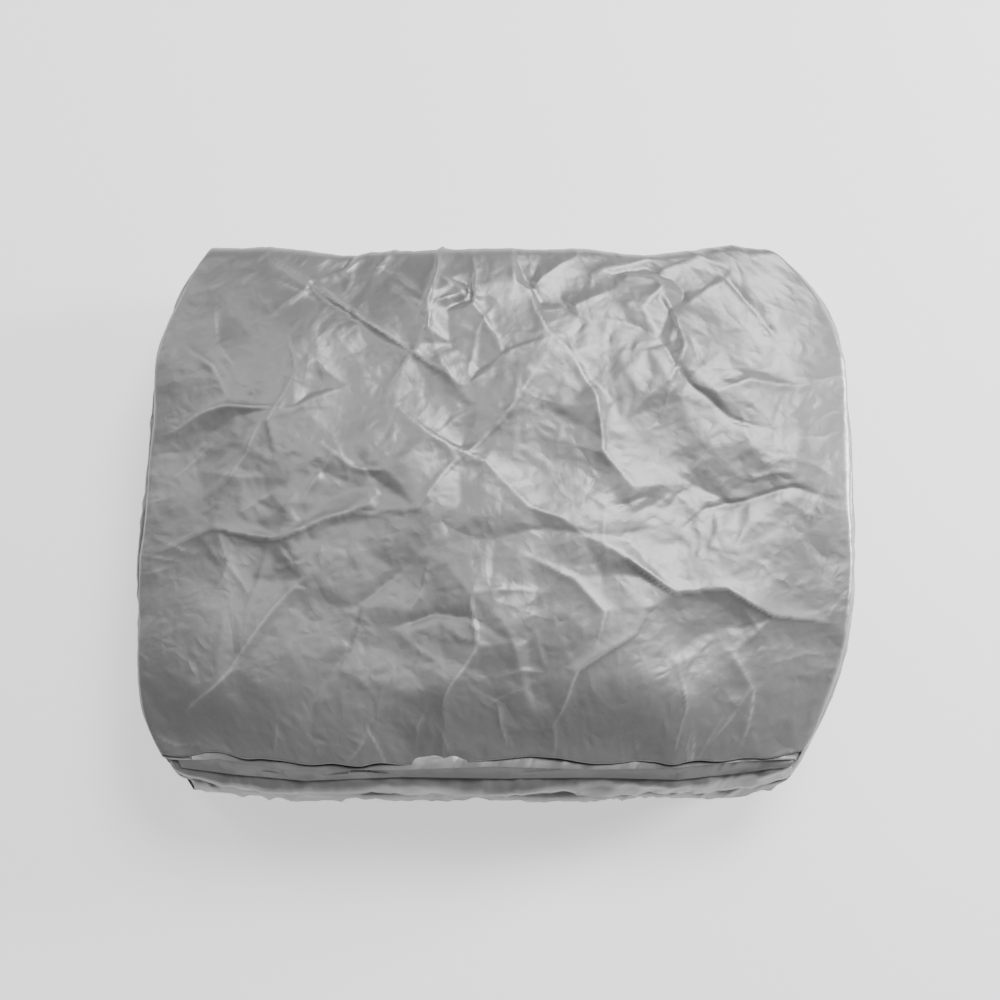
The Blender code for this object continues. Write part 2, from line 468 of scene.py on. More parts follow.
def raise_sheet(sheet, lift_at):
    """Stands each point of a flat sheet off it, and gives each point's mark: rubbed above zero, painted
    shade below zero.
    """
    flat = np.array([vertex.co for vertex in sheet.verts])
    lifts, wear_and_shade_marks = lift_at(flat[:, 0], flat[:, 1])
    for vertex, lift in zip(sheet.verts, lifts):
        vertex.co.z = lift
    return wear_and_shade_marks


def new_object(name, data):
    """Makes an object and puts it in the scene."""
    made = bpy.data.objects.new(name, data)
    bpy.context.scene.collection.objects.link(made)
    return made


def finish_sheet(name, sheet, wear_and_shade_marks, folded_places):
    """Makes a raised sheet an object, keeps its flat places and its marks of rubbing and painted shade on
    it, and folds its points.
    """
    mesh = bpy.data.meshes.new(name)
    sheet.to_mesh(mesh)
    sheet.free()
    points = points_of(mesh)
    flat = mesh.attributes.new("flat_place", "FLOAT_VECTOR", "POINT")
    flat.data.foreach_set("vector", points.astype(np.float32).ravel())
    # The mark is rubbed wear above zero and painted shade below zero.
    wear_and_painted_shade = mesh.attributes.new("wear_and_painted_shade", "FLOAT", "POINT")
    wear_and_painted_shade.data.foreach_set("value", wear_and_shade_marks.astype(np.float32))
    mesh.vertices.foreach_set("co", folded_places(*points.T).astype(np.float32).ravel())
    mesh.shade_smooth()
    mesh.update()
    return new_object(name, mesh)


# %% [markdown]
# ## The plies below give way
#
# The creases of the top ply dip down as well as up. The plies just below it lie a little lower in the
# middle, so that the top ply covers them. The lowest ply is pressed flat on the floor.

# %% Fold the plies
GIVES_WAY = 2.2 * MM
GIVES_WAY_FROM = 60 * MM
GIVES_WAY_OVER = 20 * MM
FLOOR_CLEARANCE = 0.05 * MM


def folded_plies(across, along, lift):
    """The places of the plies below the top one."""
    places, layer = fold(across, along, lift)
    inside = 1 - rim_share(np.abs(places[:, 0]) / HALF_WIDTH, np.abs(places[:, 1]) / PACK_HALF_LENGTH)
    drop = GIVES_WAY * np.clip(inside, 0, 1) * smooth_step((places[:, 2] - GIVES_WAY_FROM) / GIVES_WAY_OVER)
    drop *= 1 - end_shares(along)[1]
    soft = settle(soften(places, layer))
    soft[:, 2] = np.maximum(soft[:, 2] - drop, FLOOR_CLEARANCE)
    return soft


plies_worn = raise_sheet(plies, pucker)
plies_piece = finish_sheet("cover_plies", plies, plies_worn, folded_plies)
print("The folded plies measure, in mm:", [round(1000 * side) for side in plies_piece.dimensions])

# %% [markdown]
# ## The top ply's broad swells
#
# Air and the folds below leave broad, soft swells in the top ply. Each is a stretched bell: a place, a
# direction, how far it reaches along and across, and a height. They are the solid's own swells.

# %% Broad swells
SWELL_COLUMNS = ("x", "y", "turn_deg", "along", "across", "height")
SWELL_TABLE_MM = (
    (-128, 112, -34, 74, 17, 2.4),
    (-30, 118, -72, 60, 15, 2.2),
    (62, 108, 24, 66, 16, 2.6),
    (142, 62, -58, 80, 18, 2.2),
    (-146, -18, 82, 84, 18, 2.0),
    (-40, 6, 14, 110, 20, -1.8),
    (88, -44, -28, 96, 20, 2.0),
    (-84, -92, -20, 80, 18, 1.8),
)
SWELLS = [dict(zip(SWELL_COLUMNS, row)) for row in SWELL_TABLE_MM]


def swell_lift(x, y):
    """The height of the broad swells, with x and y in millimetres."""
    lift = np.zeros_like(x)
    for swell in SWELLS:
        turn = math.radians(swell["turn_deg"])
        dx, dy = x - swell["x"], y - swell["y"]
        along = (dx * math.cos(turn) + dy * math.sin(turn)) / swell["along"]
        across = (dy * math.cos(turn) - dx * math.sin(turn)) / swell["across"]
        lift += swell["height"] * np.exp(-along * along - across * across)
    return lift


# %% [markdown]
# ## The top ply's creases, one by one
#
# Film keeps every crease it ever got. The long ones follow the photograph: they cross like an X on the left,
# meet in two stars near the middle, and curl on the right. Each is a few points with a height and a width. A
# crease is a sharp crest with hollow flanks. Its `step` makes one flank higher than the other, as where film
# has been folded over. Two rows lie on part of a longer crease and make it sharper there.

# %% Listed creases
CREASE_COLUMNS = ("height", "step", "width", "points")
CREASE_TABLE_MM = (
    (2.1, -0.1, 3, ((-160, 150), (-147, 144), (-129, 138), (-114, 130), (-98, 119), (-79, 108), (-20, 66))),
    (0.8, -0.1, 2.2, ((-147, 144), (-129, 138), (-114, 130), (-98, 119), (-79, 108))),
    (1.0, 0.1, 2.8, ((-136, 131), (-127, 128), (-120, 125), (-105, 117))),
    (1.3, 0.2, 3, ((-130, 110), (-123, 118), (-116, 124), (-113, 130))),
    (1.4, 0.2, 3, ((-112, 132), (-101, 135), (-95, 138), (-87, 145), (-80, 153))),
    (-0.9, 0.2, 2.2, ((-99, 136), (-97, 141), (-93, 147), (-90, 153))),
    (0.9, -0.1, 2.5, ((-91, 139), (-90, 131), (-91, 125))),
    (1.4, 0.2, 2.8, ((-76, 134), (-73, 139), (-69, 147), (-66, 156))),
    (1.6, -0.1, 3, ((-78, 141), (-62, 134), (-54, 130), (-46, 125), (-41, 116))),
    (1.3, -0.1, 2.8, ((-62, 127), (-51, 120), (-44, 114), (-38, 106))),
    (2.3, -0.1, 3, ((-35, 168), (-35, 150), (-35, 140), (-37, 128), (-39, 118), (-40, 108), (-40, 98))),
    (1.3, -0.1, 2.4, ((-35, 168), (-35, 150), (-35, 140), (-37, 128))),
    (1.2, 0.2, 2.8, ((-35, 136), (-30, 130), (-25, 125), (-17, 119))),
    (1.5, -0.15, 2.8, ((-13, 148), (-12, 134), (-13, 124), (-11, 117), (-12, 112), (-18, 108))),
    (-1.0, 0.3, 2.2, ((-16, 126), (-15, 120), (-14, 114))),
    (1.0, 0.2, 3, ((-42, 108), (-33, 114), (-26, 116), (-17, 119))),
    (-0.7, 0.3, 2.5, ((-27, 110), (-22, 113), (-15, 117))),
    (1.0, 0.3, 5, ((14, 150), (13, 136), (13, 127), (10, 116))),
    (-0.9, 0.4, 3, ((16, 138), (19, 129), (22, 124), (25, 114))),
    (-0.8, -0.4, 3, ((28, 139), (24, 131), (22, 125))),
    (1.8, -0.5, 6, ((21, 122), (29, 130), (43, 138), (54, 143), (62, 150))),
    (1.5, 0.6, 4, ((56, 123), (59, 131), (65, 134), (82, 140), (105, 147))),
    (-0.7, 0.3, 3, ((74, 133), (85, 137), (95, 140), (101, 133))),
    (1.1, -0.5, 3.5, ((46, 112), (54, 115), (61, 118), (69, 121))),
    (-0.7, 0.3, 3, ((38, 119), (41, 113), (48, 104))),
    (1.0, 0.4, 3, ((22, 116), (24, 108), (29, 96))),
    (1.2, 0.4, 4, ((96, 134), (105, 138), (119, 141), (136, 146))),
    (1.5, 0.8, 4.5, ((82, 134), (91, 133), (97, 129), (98, 124), (94, 119), (84, 109))),
    (-1.0, 0.3, 3, ((99, 136), (106, 130), (108, 122), (106, 116), (97, 109))),
    (1.1, 0.5, 3.5, ((112, 116), (126, 124), (139, 128), (148, 133))),
    (-0.9, 0.4, 4, ((138, 134), (150, 115), (160, 92))),
    (1.3, 0.5, 5, ((-166, 120), (-158, 92), (-148, 76))),
    (1.2, -0.5, 4.5, ((-39, 108), (-44, 88), (-60, 62))),
    (1.1, 0.5, 4, ((-13, 115), (2, 94), (8, 76))),
    (1.2, -0.6, 4.5, ((98, 113), (104, 88), (96, 66))),
    (1.3, 0.5, 5.5, ((-188, 40), (-150, 52), (-112, 50), (-82, 62))),
    (1.1, -0.5, 4.5, ((-186, -30), (-152, -18), (-118, -22), (-70, -4), (-38, -8))),
    (1.3, 0.6, 5, ((-170, -118), (-140, -92), (-118, -60), (-104, -44))),
    (-1.0, 0.5, 4, ((-104, -138), (-96, -110), (-78, -84), (-72, -58), (-50, -40))),
    (1.2, 0.4, 5, ((-30, -140), (-26, -112), (-8, -80), (-12, -52))),
    (1.0, -0.6, 4, ((36, -141), (34, -120), (48, -92), (76, -74), (84, -60))),
    (1.2, 0.5, 5, ((110, -140), (112, -112), (98, -88))),
    (1.3, 0.6, 5, ((186, -70), (150, -66), (122, -50), (96, -52), (70, -36))),
    (-1.1, 0.5, 4.5, ((190, 0), (160, 6), (128, -2), (108, 8))),
    (1.1, -0.4, 4.5, ((188, 74), (166, 66), (140, 70), (120, 60))),
    (1.3, 0.6, 4.5, ((-60, 58), (-34, 36), (-4, 22), (20, -4), (34, -10))),
    (0.9, -0.5, 3.5, ((-42, -6), (-20, 22), (6, 44), (20, 66))),
    (1.2, 0.5, 5, ((44, 82), (56, 56), (58, 28), (72, 8))),
    (-1.0, 0.5, 4, ((88, 92), (104, 66), (128, 44), (150, 38))),
    (1.0, -0.5, 4, ((-118, 96), (-112, 70), (-124, 44), (-120, 20))),
    (0.8, 0.4, 3, ((-100, 34), (-78, 18), (-60, 16))),
    (0.9, 0.5, 3.5, ((20, -34), (44, -44), (60, -62), (56, -84))),
    (0.9, -0.4, 3.5, ((-150, 6), (-136, 24), (-128, 44))),
    (1.0, 0.5, 4, ((130, -84), (146, -104), (150, -130))),
    (0.8, 0.4, 3, ((-12, 66), (10, 84), (28, 92))),
    (-0.9, 0.4, 3.5, ((-54, -70), (-30, -62), (-8, -66))),
    (0.9, 0.4, 3.5, ((-176, 92), (-160, 78), (-150, 56))),
)
CREASES = [dict(zip(CREASE_COLUMNS, row)) for row in CREASE_TABLE_MM]


def to_segment(x, y, start, stop):
    """How far points are from a straight stretch, on which side, and how far along it is nearest."""
    run, rise = stop[0] - start[0], stop[1] - start[1]
    size = math.hypot(run, rise)
    share = np.clip(((x - start[0]) * run + (y - start[1]) * rise) / size**2, 0, 1)
    side = ((x - start[0]) * rise - (y - start[1]) * run) / size
    distance = np.hypot(x - start[0] - share * run, y - start[1] - share * rise)
    return distance, side, share * size


def nearest_place(x, y, points):
    """Each point's distance to a crease's line, its side of it, and its share of the way along."""
    nearest, side, place, passed = np.full_like(x, 1e3), np.zeros_like(x), np.zeros_like(x), 0.0
    for start, stop in zip(points, points[1:]):
        distance, lean, share = to_segment(x, y, start, stop)
        closer = distance < nearest
        nearest = np.where(closer, distance, nearest)
        side = np.where(closer, lean, side)
        place = np.where(closer, passed + share, place)
        passed += math.dist(start, stop)
    return nearest, side, place / passed


# %% [markdown]
# ## The profile of a crease
#
# Across a crease the height comes from a few bells: a blunt one and a sharp one make the crest, and a soft
# jump makes the step. A second value says how the crease is marked. It is above zero on the crest, which
# rubs pale, and below zero in the hollow at the crease's lower foot or in a valley, where shade is painted
# in: a dark line that stands for the shadow there.

# %% The height and the marks of one crease
CREST_WIDTH = 0.7
SHADE_LINE_WIDTH = 1.1
SHADE_LINE_OFF = 1.7
STEP_WIDTH = 0.9
SHARP_SHARE, STEP_SHARE = 0.36, 1.3
FADES_ALONG = 1.6
SHADE_OF_HEIGHT, SHADE_OF_STEP = 0.45, 0.8


def crease_lift(x, y, crease):
    """A crease's height, and its mark from -1, painted shade in its hollow, to 1, a rubbed crest, with x and
    y in millimetres.
    """
    nearest, side, share = nearest_place(x, y, crease["points"])
    start_x, start_y = crease["points"][0]
    faded = 0.8 + 0.2 * np.sin(2 * math.pi * (FADES_ALONG * share + 0.013 * start_x) + 0.05 * start_y)
    taper = faded * np.sin(math.pi * np.clip(share, 0.02, 0.98)) ** 0.5
    blunt = np.exp(-((nearest / crease["width"]) ** 2))
    sharp = np.exp(-nearest / (SHARP_SHARE * crease["width"]))
    ridge = 0.5 * blunt + 0.5 * sharp
    fades = np.exp(-nearest / (STEP_SHARE * crease["width"]))
    fold_over = crease["step"] * np.tanh(side / STEP_WIDTH) * fades
    if crease["height"] > 0:
        crest = min(crease["height"], 1) * np.exp(-nearest / CREST_WIDTH)
        # Below zero the mark is painted shade: a dark line at the crease's lower foot, where its shadow
        # falls.
        foot = np.sign(crease["step"]) * np.copysign(nearest, side) + SHADE_LINE_OFF
        shade = SHADE_OF_HEIGHT * crease["height"] + SHADE_OF_STEP * abs(crease["step"])
        painted_shade_line = min(shade, 1) * np.exp(-((foot / SHADE_LINE_WIDTH) ** 2))
    else:
        crest = 0
        # In a valley the painted shade darkens the bottom, where it lies in shadow.
        painted_shade_line = min(-crease["height"], 1) * np.exp(-((nearest / SHADE_LINE_WIDTH) ** 2))
    return taper * (crease["height"] * ridge + fold_over), taper * (crest - painted_shade_line)


# %% [markdown]
# ## Flat facets between the creases
#
# Between its creases film is nearly flat, in facets that tilt a little. So the crease lines are handed to
# Blender's triangulation as edges that it has to keep, with loose points in the gaps between them. Every
# point gets a height, and a ray sent down on this net reads the height anywhere. Two finer nets have facets
# alone.

# %% A net of facets between the creases
NET_HALF_SIDE = 250
LOOSE_PITCH = 27
LOOSE_CLEAR = 9
LOOSE_HEIGHT = 1.3
JITTER_SHARE = 0.42
RAY_START = 50


def loose_points(pitch, draw):
    """Points about a pitch apart, each jittered in its own cell."""
    cells = range(-round(NET_HALF_SIDE / pitch), round(NET_HALF_SIDE / pitch) + 1)
    jitter = JITTER_SHARE * pitch
    return [
        (a * pitch + draw.uniform(-jitter, jitter), b * pitch + draw.uniform(-jitter, jitter))
        for a in cells
        for b in cells
    ]


def net_rays(points, heights, kept_edges):
    """A triangulated net as something rays can be cast on, in millimetres."""
    flat = [Vector(point) for point in points]
    corners, _, faces, sources, _, _ = delaunay_2d_cdt(flat, kept_edges, [], 0, 0.01)
    middle = sum(heights) / len(heights)
    raised = [
        (corner.x, corner.y, heights[source[0]] if source else middle)
        for corner, source in zip(corners, sources)
    ]
    return BVHTree.FromPolygons(raised, faces)


def crease_net(seed):
    """The net whose facets meet at the listed creases."""
    draw = random.Random(seed)
    points, heights, kept_edges = [], [], []
    for crease in CREASES:
        first = len(points)
        last = first + len(crease["points"]) - 1
        points += crease["points"]
        heights += [crease["height"] * draw.uniform(0.5, 1.2) for _ in crease["points"]]
        kept_edges += [(number, number + 1) for number in range(first, last)]
    crossed = np.array(points)
    for x, y in loose_points(LOOSE_PITCH, draw):
        if np.hypot(crossed[:, 0] - x, crossed[:, 1] - y).min() > LOOSE_CLEAR:
            points.append((x, y))
            heights.append(draw.uniform(-1, 0.7) * LOOSE_HEIGHT)
    return net_rays(points, heights, kept_edges)


def fine_net(pitch, height, seed):
    """A net of small facets alone."""
    draw = random.Random(seed)
    points = loose_points(pitch, draw)
    return net_rays(points, [draw.uniform(-1, 1) * height for _ in points], [])


def net_lift(x, y, rays):
    """The height of a net at points in millimetres."""
    down = Vector((0, 0, -1))
    hits = [rays.ray_cast(Vector((a, b, RAY_START)), down)[0] for a, b in zip(x, y)]
    return np.array([hit.z if hit else 0.0 for hit in hits])


large_facets = crease_net(3)
middle_facets = fine_net(14, 0.62, 8)
small_facets = fine_net(6.5, 0.2, 5)

# %% [markdown]
# ## Short creases
#
# Short creases run in from the bends, square to them, and small ones lie scattered about. Nobody would place
# those by hand, so they are drawn at random, from a seed that gives the same ones each time. A table says
# how many go where, which way they run, and how long and high they are.

# %% Scatter short creases
SCATTER_COLUMNS = ("count", "x", "y", "turn_deg", "length", "height")
SCATTER_TABLE_MM = (
    (22, (-40, 168), (136, 158), (65, 115), (18, 48), (0.5, 1.1)),
    (9, (-170, -40), (140, 158), (60, 110), (12, 30), (0.3, 0.6)),
    (17, (-190, -168), (-130, 130), (-28, 28), (16, 42), (0.4, 0.9)),
    (17, (168, 190), (-130, 130), (-28, 28), (16, 42), (0.4, 0.9)),
    (18, (-165, 165), (-140, -120), (55, 125), (14, 34), (0.4, 0.9)),
    (46, (-175, 175), (-130, 105), (0, 180), (22, 48), (0.4, 0.9)),
    (110, (-180, 180), (-135, 150), (0, 180), (9, 30), (0.2, 0.6)),
)


def short_crease(zone, draw):
    """A crease of three points, nearly straight, somewhere in a zone of the table."""
    place = [draw.uniform(*zone["x"]), draw.uniform(*zone["y"])]
    turn = math.radians(draw.uniform(*zone["turn_deg"]))
    length, height = draw.uniform(*zone["length"]), draw.choice((-1, 1, 1)) * draw.uniform(*zone["height"])
    bow = draw.uniform(-0.12, 0.12) * length
    points = [
        (
            place[0] + share * length * math.cos(turn) - off * math.sin(turn),
            place[1] + share * length * math.sin(turn) + off * math.cos(turn),
        )
        for share, off in ((-0.5, 0), (0, bow), (0.5, 0))
    ]
    step = draw.uniform(-0.6, 0.6) * abs(height)
    return {"height": height, "step": step, "width": draw.uniform(1.6, 3.2), "points": points}


def scattered_creases(seed):
    """The short creases of every zone."""
    draw = random.Random(seed)
    zones = [dict(zip(SCATTER_COLUMNS, row)) for row in SCATTER_TABLE_MM]
    return [short_crease(zone, draw) for zone in zones for _ in range(zone["count"])]


SHORT_CREASES = scattered_creases(21)
print(f"{len(CREASES)} creases are placed by hand, and {len(SHORT_CREASES)} short ones are scattered")

# %% [markdown]
# ## The top ply
#
# Now the top ply is a grid of faces little more than a millimetre wide. Its own flat measure, with zero in
# the middle of the top face, places the creases, so that a crease runs on over the back bend as it does in
# real film. A grid cuts a slanting crest into steps, so points that lie close to a crease are first moved
# onto it, in the flat sheet.

# %% Lay out the top ply
TOP_FACE_SIDE = 1.25 * MM
WANDER_SIZE, WANDER_REACH = 22, 1.1
ONTO_CREST = 0.42 * TOP_FACE_SIDE / MM
top_middle = ((section_turns[0][1] + section_turns[1][0]) / 2, path.length - LAST_END_REACH)


def even_stations(start, stop, pitch):
    """Lengths from start to stop at an even pitch."""
    return list(np.linspace(start, stop, round((stop - start) / pitch) + 1))


def top_places(across, along):
    """Places on the top face in millimetres, and the same wandered a little, so no crease is straight."""
    x = (top_middle[0] - across) / MM
    y = (top_middle[1] - along) / MM
    wander = drift(np.stack([x, y, np.zeros_like(x)], axis=1), WANDER_SIZE, WANDER_REACH, 6.1)
    return x, y, x + wander[:, 0], y + wander[:, 1]


def move_onto_creases(sheet):
    """Moves the points of a flat sheet that are close to a crease onto it."""
    inner = [vertex for vertex in sheet.verts if not vertex.is_boundary]
    flat = np.array([vertex.co for vertex in inner])
    _, _, x, y = top_places(flat[:, 0], flat[:, 1])
    nearest, shift_x, shift_y = np.full_like(x, ONTO_CREST), np.zeros_like(x), np.zeros_like(x)
    for crease in CREASES + SHORT_CREASES:
        points = crease["points"]
        for start, stop in zip(points, points[1:]):
            distance, _, place = to_segment(x, y, start, stop)
            size = math.dist(start, stop)
            foot_x = start[0] + place * (stop[0] - start[0]) / size
            foot_y = start[1] + place * (stop[1] - start[1]) / size
            closer = distance < nearest
            nearest = np.where(closer, distance, nearest)
            shift_x = np.where(closer, foot_x - x, shift_x)
            shift_y = np.where(closer, foot_y - y, shift_y)
    for vertex, dx, dy in zip(inner, shift_x, shift_y):
        vertex.co.x -= dx * MM
        vertex.co.y -= dy * MM
    return int(np.count_nonzero(nearest < ONTO_CREST))


top_sheet = flat_sheet(even_stations(*top_across, TOP_FACE_SIDE), even_stations(*top_along, TOP_FACE_SIDE))
moved = move_onto_creases(top_sheet)
print(f"The top ply has {len(top_sheet.faces)} faces, and {moved} of its points lie on a crest")

# %% [markdown]
# ## Crease it and fold it
#
# All heights are added up on the flat sheet: swells, facets and creases. They fade where the film is tucked
# in, and they are busier in some places than in others. Then the sheet is folded with the rest.

# %% Fold the top ply
BUSY_SIZE, BUSY_MIDDLE, BUSY_SWING = 80, 0.5, 0.9
CALM_PLACE, CALM_REACH, CALM_SHARE = (-115, 130), (64, 36), 0.85
END_CALM = 0.6
LOWEST_DIP = 1.2 * MM
FACETS_AT_RIM, LONG_AT_RIM, SHORT_AT_RIM = 0.3, 0.6, 0.3
SHORT_PER_BUSY = 1.6
PUCKERS_CALM, PUCKERS_PER_BUSY = 0.2, 0.6


def busyness(x, y):
    """How many small creases a place has, from about 0 to 1. The back corner on the left lies calm."""
    flat_places = np.stack([x, y, np.zeros_like(x)], axis=1)
    busy = BUSY_MIDDLE + BUSY_SWING * drift(flat_places, BUSY_SIZE, 1.0, 2.9)[:, 0]
    away_x, away_y = (x - CALM_PLACE[0]) / CALM_REACH[0], (y - CALM_PLACE[1]) / CALM_REACH[1]
    return busy * (1 - CALM_SHARE * np.exp(-(away_x**2) - away_y**2))


def top_lift(across, along):
    """How far the top ply stands off its flat fold, in metres, and how it is marked: rubbed crests, and
    painted shade in the hollows of creases.
    """
    x, y, wandered_x, wandered_y = top_places(across, along)
    busy = busyness(x, y)
    shown = smooth_step((along - top_along[0]) / TUCKED_UNDER)
    for from_side in (top_across[1] - across, across - top_across[0]):
        shown = shown * smooth_step(from_side / TUCKED_UNDER)
    out_x, out_y = np.abs(x) * MM / HALF_WIDTH, np.abs(y) * MM / PACK_HALF_LENGTH
    inside = 1 - rim_share(np.minimum(out_x, 1), np.minimum(out_y, 1))
    lift = net_lift(wandered_x, wandered_y, large_facets)
    for facets in (middle_facets, small_facets):
        lift += busy * net_lift(wandered_x, wandered_y, facets)
    lift = inside * swell_lift(x, y) + (FACETS_AT_RIM + (1 - FACETS_AT_RIM) * inside) * lift
    crests, painted_shade_lines = np.zeros_like(x), np.zeros_like(x)
    short_share = np.minimum(SHORT_PER_BUSY * busy, 1)
    for creases, share, at_rim in ((CREASES, 1, LONG_AT_RIM), (SHORT_CREASES, short_share, SHORT_AT_RIM)):
        for crease in creases:
            height, mark = crease_lift(wandered_x, wandered_y, crease)
            lift += share * (at_rim + (1 - at_rim) * inside) * height
            crests = np.maximum(crests, share * mark)
            painted_shade_lines = np.minimum(painted_shade_lines, share * mark)
    lift = MM * lift * (1 - END_CALM * end_shares(along)[1])
    bend_lift, bend_worn = pucker(across, along)
    bend_share = PUCKERS_CALM + PUCKERS_PER_BUSY * busy
    lift = np.maximum(shown * lift, -LOWEST_DIP - GIVES_WAY * inside) + bend_share * bend_lift
    # The marks hold rubbed crests above zero and painted shade below zero.
    return lift, np.maximum(shown * (crests + painted_shade_lines), bend_share * bend_worn)


def folded_top(across, along, lift):
    """The places of the top ply."""
    places, layer = fold(across, along, lift)
    return settle(soften(places, layer))


# The top ply's marks include painted shade in the hollows of its creases.
top_wear_and_shade = raise_sheet(top_sheet, top_lift)
top_piece = finish_sheet("cover_top_ply", top_sheet, top_wear_and_shade, folded_top)
print("The top ply measures, in mm:", [round(1000 * side) for side in top_piece.dimensions])

# %% [markdown]
# ## Film has a thickness
#
# Both sheets are still mathematically thin. A full wall would double their faces for an inside that nobody
# sees, so Solidify makes its rim alone: the cut edges get the film's thickness, and the faces are kept for
# the creases.

# %% Thicken the film's edges
FILM_THICKNESS = 0.3 * MM

for piece in (plies_piece, top_piece):
    wall = piece.modifiers.new("film", "SOLIDIFY")
    wall.thickness = FILM_THICKNESS
    wall.offset = -1
    wall.use_rim_only = True

# %% [markdown]
# ## Shader sums as Python sums
#
# A material is easier to read as a formula than as a web of nodes. This class wraps a node's output, so that
# `a * b` adds the Math node that multiplies them.

# %% A socket that can be added and multiplied
class Wire:
    """An output of a node, for use in sums."""

    def __init__(self, socket):
        self.socket = socket
        self.tree = socket.id_data

    @staticmethod
    def node(tree, kind, settings, inputs, output=0):
        """Makes a node: first its settings, then the values or wires of its inputs."""
        made = tree.nodes.new("ShaderNode" + kind)
        for name, value in settings.items():
            setattr(made, name, value)
        set_inputs(made, inputs)
        return Wire(made.outputs[output])

    def sum_of(self, operation, first, second):
        return Wire.node(self.tree, "Math", {"operation": operation}, {0: first, 1: second})

    def vector_sum(self, operation, other):
        inputs = {0: self, "Scale" if operation == "SCALE" else 1: other}
        return Wire.node(self.tree, "VectorMath", {"operation": operation}, inputs, "Vector")

    def mix(self, first, second):
        """A colour between two others, where this wire is the share of the second."""
        inputs = {"Factor": self, "A": first, "B": second}
        return Wire.node(self.tree, "Mix", {"data_type": "RGBA"}, inputs, "Result")

    def __add__(self, other):
        return self.sum_of("ADD", self, other)

    def __radd__(self, other):
        return self.sum_of("ADD", other, self)

    def __sub__(self, other):
        return self.sum_of("SUBTRACT", self, other)

    def __rsub__(self, other):
        return self.sum_of("SUBTRACT", other, self)

    def __mul__(self, other):
        return self.sum_of("MULTIPLY", self, other)

    def __rmul__(self, other):
        return self.sum_of("MULTIPLY", other, self)


def set_inputs(node, inputs):
    """Gives inputs of a node their values or wires."""
    for name, value in inputs.items():
        if isinstance(value, Wire):
            node.id_data.links.new(value.socket, node.inputs[name])
        else:
            node.inputs[name].default_value = value


# %% [markdown]
# ## Silver film
#
# The film is grey with aluminium powder in it. So it has a satin sheen that is partly metallic, slight
# clouds in its tone, and crests rubbed paler. Shade is painted into the hollows of its creases as a dark
# line. Its finest creases are left to bump. They follow the flat sheet, whose places are kept with the mesh:
# the borders of a pattern of cells make straight creases that meet in corners, as in film.

# %% The film's finish
FILM_DARK = (0.187, 0.193, 0.186, 1)
FILM_PALE = (0.282, 0.287, 0.283, 1)
FILM_RUBBED = (0.62, 0.622, 0.615, 1)
# The colour of the shade painted along the hollows of creases.
FILM_PAINTED_SHADE = (0.07, 0.072, 0.07, 1)
RUBBED_SHARE, PAINTED_SHADE_SHARE = 0.75, 0.8


def cell_creases(tree, flat, cell, seed, tilt, crest):
    """Relief in millimetres along the borders of cells: a slope towards each border and a crest on it."""
    shifted = flat.vector_sum("ADD", (seed, 2 * seed, 0))
    bent = Wire.node(tree, "TexNoise", {}, {"Vector": shifted, "Scale": 0.8 / cell, "Detail": 1}, "Color")
    bent = shifted.vector_sum("ADD", bent.vector_sum("SCALE", 0.5 * cell))
    settings = {"voronoi_dimensions": "2D", "feature": "DISTANCE_TO_EDGE"}
    border = Wire.node(tree, "TexVoronoi", settings, {"Vector": bent, "Scale": 1 / cell}, "Distance")
    line = {"Value": border, "From Min": 0.0, "From Max": 0.9 * MM / cell, "To Min": 1.0, "To Max": 0.0}
    line = Wire.node(tree, "MapRange", {}, line, "Result")
    up_or_down = Wire.node(tree, "TexNoise", {}, {"Vector": shifted, "Scale": 0.6 / cell, "Detail": 1})
    return (up_or_down - 0.5) * (tilt * cell / MM * border + crest * line)


def silver_film():
    """Satin silver-grey film with clouds, pale rubbed crests, painted shade in the hollows of creases, and
    fine creases.
    """
    material = bpy.data.materials.new("silver_film")
    material.use_nodes = True
    tree = material.node_tree
    flat = Wire.node(tree, "Attribute", {"attribute_name": "flat_place"}, {}, "Vector")
    wear_and_painted_shade = Wire.node(tree, "Attribute", {"attribute_name": "wear_and_painted_shade"}, {}, "Fac")
    clouds = Wire.node(tree, "TexNoise", {}, {"Vector": flat, "Scale": 14, "Detail": 3, "Roughness": 0.6})
    speckle = Wire.node(tree, "TexNoise", {}, {"Vector": flat, "Scale": 900, "Detail": 2})
    tone = 0.75 * clouds + 0.25 * speckle
    colour = tone.mix(FILM_DARK, FILM_PALE)
    # Above zero the mark is rubbed wear; below zero it is painted shade, a dark line that stands for the
    # shadow in a crease's hollow.
    crest = wear_and_painted_shade.sum_of("MAXIMUM", wear_and_painted_shade, 0.0)
    painted_shade_line = wear_and_painted_shade.sum_of("MAXIMUM", 0.0 - wear_and_painted_shade, 0.0)
    for share, mark in ((crest * clouds * RUBBED_SHARE, FILM_RUBBED), (painted_shade_line * PAINTED_SHADE_SHARE, FILM_PAINTED_SHADE)):
        colour = share.mix(colour, mark)
    look = {"Base Color": colour, "Roughness": 0.32 + 0.14 * clouds + 0.1 * crest}
    wide_cells = cell_creases(tree, flat, 24 * MM, 0.37, 0.3, 0.25)
    relief = wide_cells + cell_creases(tree, flat, 9 * MM, 0.71, 0.3, 0.15)
    soft_waves = Wire.node(tree, "TexNoise", {}, {"Vector": flat, "Scale": 60, "Detail": 3})
    relief = relief + 0.5 * soft_waves
    bump = {"Height": relief, "Strength": 1.0, "Distance": MM}
    look["Normal"] = Wire.node(tree, "Bump", {}, bump, "Normal")
    look |= {"Metallic": 0.5, "Coat Weight": 0.2, "Coat Roughness": 0.25}
    set_inputs(tree.nodes["Principled BSDF"], look)
    return material


film = silver_film()
for piece in (plies_piece, top_piece):
    piece.data.materials.append(film)

# %% [markdown]
# ## What physics has to know
#
# Both pieces stand for the one solid, which is hidden, and ride on the one body. The area of the whole sheet
# is printed.

